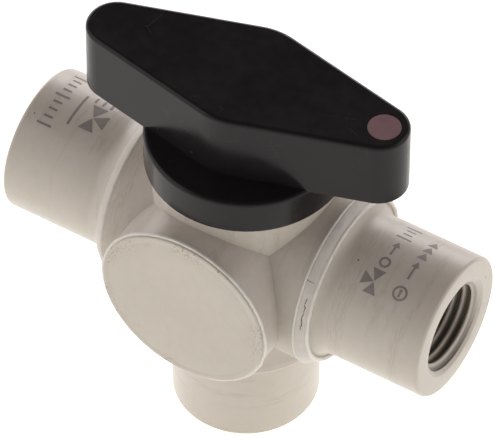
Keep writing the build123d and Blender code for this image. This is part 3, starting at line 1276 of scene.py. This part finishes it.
@dataclass
class FlowMarks:
    """Plain pictograms marked on the side sleeves: a three way symbol, flow arrows and tick marks."""

    finish: bpy.types.Material
    seam_shade_finish: bpy.types.Material
    barrel_radius: float = 10.0 * MM
    stroke: float = 0.3 * MM
    symbol: float = 1.1 * MM
    long_tick: float = 2.2 * MM
    short_tick: float = 1.3 * MM
    right_rows: tuple[float, float] = (22.6 * MM, 26.5 * MM)
    scale_row: float = 28.7 * MM
    symbol_row: float = 23.2 * MM
    seam_radius: float = 12.66 * MM
    seam_reach: float = 15.65 * MM
    seam_start: float = 150.5
    seam_spread: float = 0.12 * MM
    crack_count: int = 11
    nick_reach: float = 15.35 * MM
    nick_turn: float = 138.5

    def around(self, degrees: float) -> float:
        """Distance round a sleeve to an angle that is counted from the rear, over the top."""
        return math.radians(degrees) * self.barrel_radius

    def three_way_symbol(self, marks: SurfaceMarks, around: float, along: float, size: float) -> None:
        """Draw three solid triangles whose points meet, as a valve is drawn in a pipe plan.

        Args:
            marks: The marks to draw in.
            around: The meeting point, round the arm.
            along: The meeting point, along the arm.
            size: Distance from a triangle's centre to a corner.
        """
        for turn in (0, 180, 90):
            angle = math.radians(turn)
            reach = 1.08 * size
            marks.triangle(around - reach * math.cos(angle), along - reach * math.sin(angle), size, turn)

    def right_marks(self) -> bpy.types.Object:
        """Mark two rows on the right sleeve.

        Returns:
            The new piece.
        """
        marks = SurfaceMarks(1, self.barrel_radius)
        first, second = self.right_rows
        self.three_way_symbol(marks, self.around(121), first, self.symbol)
        marks.ring(self.around(104), first, 0.8 * MM, self.stroke)
        marks.arrow(self.around(92), first, 1.5 * MM, self.stroke, 180)
        for step in range(4):
            height = self.long_tick if step % 3 == 0 else self.short_tick
            marks.bar(self.around(76 - 6.0 * step), first, height, self.stroke, 90)
        marks.ring(self.around(121), second, 1.05 * MM, self.stroke)
        marks.bar(self.around(121), second, 1.1 * MM, self.stroke, 0)
        marks.arrow(self.around(103), second, 2.0 * MM, self.stroke, 180)
        for step in range(3):
            marks.triangle(self.around(86 - 8.5 * step), second, 0.85 * MM, 180)
        return marks.build("right_flow_marks", self.finish)

    def left_marks(self) -> bpy.types.Object:
        """Mark a scale and a three way symbol on the left sleeve.

        Returns:
            The new piece.
        """
        marks = SurfaceMarks(-1, self.barrel_radius)
        for step in range(9):
            height = self.long_tick if step % 4 == 0 else self.short_tick
            marks.bar(self.around(118 - 7.0 * step), self.scale_row, height, self.stroke, 90)
        self.three_way_symbol(marks, self.around(97), self.symbol_row, 1.3 * MM)
        marks.bar(self.around(95), self.symbol_row + 2.6 * MM, 5.4 * MM, self.stroke, 0)
        for row in range(3):
            dash = self.symbol_row + (1.2 - 1.2 * row) * MM
            marks.bar(self.around(80), dash, 1.0 * MM, self.stroke, 0)
        return marks.build("left_flow_marks", self.finish)

    def seam_cracks(self) -> bpy.types.Object:
        """Draw the short dark openings in the right arm's weld seam, and the nick across its band, as thin
        sheets whose near black colour is painted shade.

        Returns:
            The new piece.
        """
        marks = SurfaceMarks(1, self.seam_radius, proud=0.10 * MM, thickness=0.08 * MM, on_band=True)
        cracks = random.Random(7)
        at = math.radians(self.seam_start) * self.seam_radius
        for _ in range(self.crack_count):
            length = cracks.uniform(0.25, 0.75) * MM
            width = cracks.uniform(0.05, 0.11) * MM
            reach = self.seam_reach + cracks.uniform(-1.0, 1.0) * self.seam_spread
            marks.bar(at, reach, length, width, cracks.uniform(-12, 12))
            at += length * cracks.uniform(0.9, 1.3)
        nick = math.radians(self.nick_turn) * self.seam_radius
        marks.bar(nick, self.nick_reach, 1.0 * MM, 0.05 * MM, 80)
        return marks.build("right_seam_cracks", self.seam_shade_finish)

    def build(self) -> None:
        """Mark both sleeves and the seam."""
        self.right_marks()
        self.left_marks()
        self.seam_cracks()


# ---------------------------------------------------------------- studio


@dataclass(frozen=True)
class SoftBox:
    """A rectangular soft lamp, placed by its direction from the object, well beyond any camera."""

    name: str
    azimuth: float
    elevation: float
    width: float
    height: float
    brightness: float
    color: tuple[float, float, float] = (1.0, 0.905, 0.925)
    reach: float = 2.6


SOFT_BOXES = (
    SoftBox("left_box", -58.5, 34.0, 2.0, 1.8, 1.2),
    SoftBox("right_box", 121.5, 34.0, 2.0, 1.8, 1.15),
    SoftBox("rear_box", 211.5, 17.0, 3.2, 1.2, 3.0, (1.0, 0.955, 0.96)),
)


@dataclass
class Studio:
    """Pale floor, soft light and the camera."""

    azimuth: float = 31.48
    elevation: float = 48.61
    roll: float = 0.21
    distance: float = 865.7 * MM
    lens: float = 475.2
    aim_right: float = 0.115 * MM
    aim_up: float = 1.697 * MM

    def back(self, azimuth: float, elevation: float) -> Vector:
        """Direction from the object towards a viewer or a lamp, both angles in degrees."""
        a, e = math.radians(azimuth), math.radians(elevation)
        return Vector((math.sin(a) * math.cos(e), -math.cos(a) * math.cos(e), math.sin(e)))

    def add_camera(self) -> None:
        """Place the camera, and make it the scene's."""
        data = bpy.data.cameras.new("camera")
        data.lens = self.lens
        data.sensor_width = 36.0
        data.clip_start, data.clip_end = 0.05, 20.0
        camera = bpy.data.objects.new("camera", data)
        bpy.context.scene.collection.objects.link(camera)
        back = self.back(self.azimuth, self.elevation)
        turn = (-back).to_track_quat("-Z", "Y").to_matrix()
        aim = ball_centre() + turn @ Vector((self.aim_right, self.aim_up, 0.0))
        roll = Matrix.Rotation(math.radians(self.roll), 3, "Z")
        camera.matrix_world = Matrix.Translation(aim + back * self.distance) @ (turn @ roll).to_4x4()
        bpy.context.scene.camera = camera

    def add_lamp(self, lamp: SoftBox) -> None:
        """Hang a soft box so that it faces the object.

        Args:
            lamp: The soft box's size, direction and brightness.
        """
        data = bpy.data.lights.new(lamp.name, "AREA")
        data.shape = "RECTANGLE"
        data.size, data.size_y = lamp.width, lamp.height
        data.energy = math.pi * lamp.width * lamp.height * lamp.brightness
        data.color = lamp.color
        hung = bpy.data.objects.new(lamp.name, data)
        bpy.context.scene.collection.objects.link(hung)
        back = self.back(lamp.azimuth, lamp.elevation)
        turn = (-back).to_track_quat("-Z", "Y").to_matrix().to_4x4()
        hung.matrix_world = Matrix.Translation(ball_centre() + back * lamp.reach) @ turn

    def add_floor(self) -> None:
        """Lay a wide pale floor under the valve."""
        mesh = bmesh.new()
        bmesh.ops.create_grid(mesh, x_segments=2, y_segments=2, size=4.0)
        data = bpy.data.meshes.new("floor")
        mesh.to_mesh(data)
        mesh.free()
        material = bpy.data.materials.new("pale_floor")
        material.use_nodes = True
        tree = Tree(material.node_tree)
        shader = material.node_tree.nodes["Principled BSDF"]
        place = tree.add("TexCoord").outputs["Object"]
        tone = tree.ramp(tree.noise(place, 30.0), 0.3, 0.7)
        tree.join(tree.mix(tone, (0.90, 0.90, 0.90, 1), (0.93, 0.93, 0.93, 1)), shader.inputs["Base Color"])
        shader.inputs["Roughness"].default_value = 0.8
        shader.inputs["Emission Color"].default_value = (1, 0.995, 0.93, 1)
        shader.inputs["Emission Strength"].default_value = 0.66
        data.materials.append(material)
        floor = bpy.data.objects.new("floor", data)
        bpy.context.scene.collection.objects.link(floor)

    def add_world(self) -> None:
        """Fill the surroundings with light that is brighter near the horizon than overhead."""
        world = bpy.data.worlds.new("surroundings")
        bpy.context.scene.world = world
        world.use_nodes = True
        tree = Tree(world.node_tree)
        background = world.node_tree.nodes["Background"]
        parts = tree.add("SeparateXYZ")
        tree.join(tree.add("TexCoord").outputs["Generated"], parts.inputs[0])
        height = tree.ramp(parts.outputs["Z"], 0.05, 0.80, 0.0, 1.0)
        color = tree.mix(height, (1.0, 0.985, 0.97, 1), (0.06, 0.056, 0.058, 1))
        tree.join(color, background.inputs["Color"])
        background.inputs["Strength"].default_value = 0.9

    def build(self) -> None:
        """Set up the whole studio."""
        self.add_camera()
        self.add_floor()
        self.add_world()
        for lamp in SOFT_BOXES:
            self.add_lamp(lamp)
        bpy.context.scene.view_settings.view_transform = "Standard"
        LOG.info("studio ready")


# ---------------------------------------------------------------- assembly


@dataclass
class CadDressing:
    """Materials for the CAD nodes that are shown as they are."""

    nodes: dict[str, bpy.types.Object]
    finishes: dict[str, bpy.types.Material]

    def finish_name(self, node: str) -> str:
        """The finish that a CAD node takes, from its name.

        Args:
            node: The node's name.

        Returns:
            The finish's name.
        """
        words = {
            "o_ring": "rubber", "seat": "seat", "washer": "seat", "stem": "stem",
            "ball": "ball", "handle": "handle", "dot": "dot",
        }
        return next((finish for word, finish in words.items() if word in node), "body")

    def build(self) -> None:
        """Dress every CAD node that nothing replaces."""
        for name, node in self.nodes.items():
            finish = self.finishes[self.finish_name(name)]
            node.data.materials.clear()
            node.data.materials.append(finish)
            LOG.info("%s: %s", name, finish.name)


def main() -> None:
    """Build every piece in order."""
    logging.basicConfig(level=logging.INFO, format="%(message)s")
    groups = build_groups()
    finishes = {name: finish.build(groups) for name, finish in FINISHES.items()}
    CadDressing(frame["nodes"], finishes).build()
    BodyShell(finishes["body"]).build()
    crest = BAND.radius(BAND.end)
    for arm, flare_radius, band_round in ((Arm.RIGHT, 2.2 * MM, 0.4 * MM), (Arm.LEFT, 3.6 * MM, 0.6 * MM)):
        PortSleeve(arm, finishes["side_sleeve"], crest, flare_radius, band_round, BAND.lean).build()
    PortSleeve(Arm.BOTTOM, finishes["bottom_sleeve"]).build()
    for arm in (Arm.FRONT, Arm.REAR):
        cap = BlankingCap(arm, finishes["cap"], finishes["flash"])
        cap.build_cap()
        cap.build_flash()
    # Weld band skins, whose pale colour is painted highlight.
    for arm in (Arm.RIGHT, Arm.LEFT):
        WeldBand(arm, finishes["weld"]).build()
    # Weld beads in the flash finish, whose paleness is partly painted highlight.
    WeldBead(Arm.RIGHT, "inner", finishes["flash"], 14.80 * MM, 12.54 * MM).build()
    WeldBead(Arm.RIGHT, "outer", finishes["flash"], 16.24 * MM, 11.42 * MM, 0.32 * MM).build()
    FlowMarks(finishes["mark"], finishes["seam_shade"]).build()
    Studio().build()


if __name__ == "__main__":
    main()
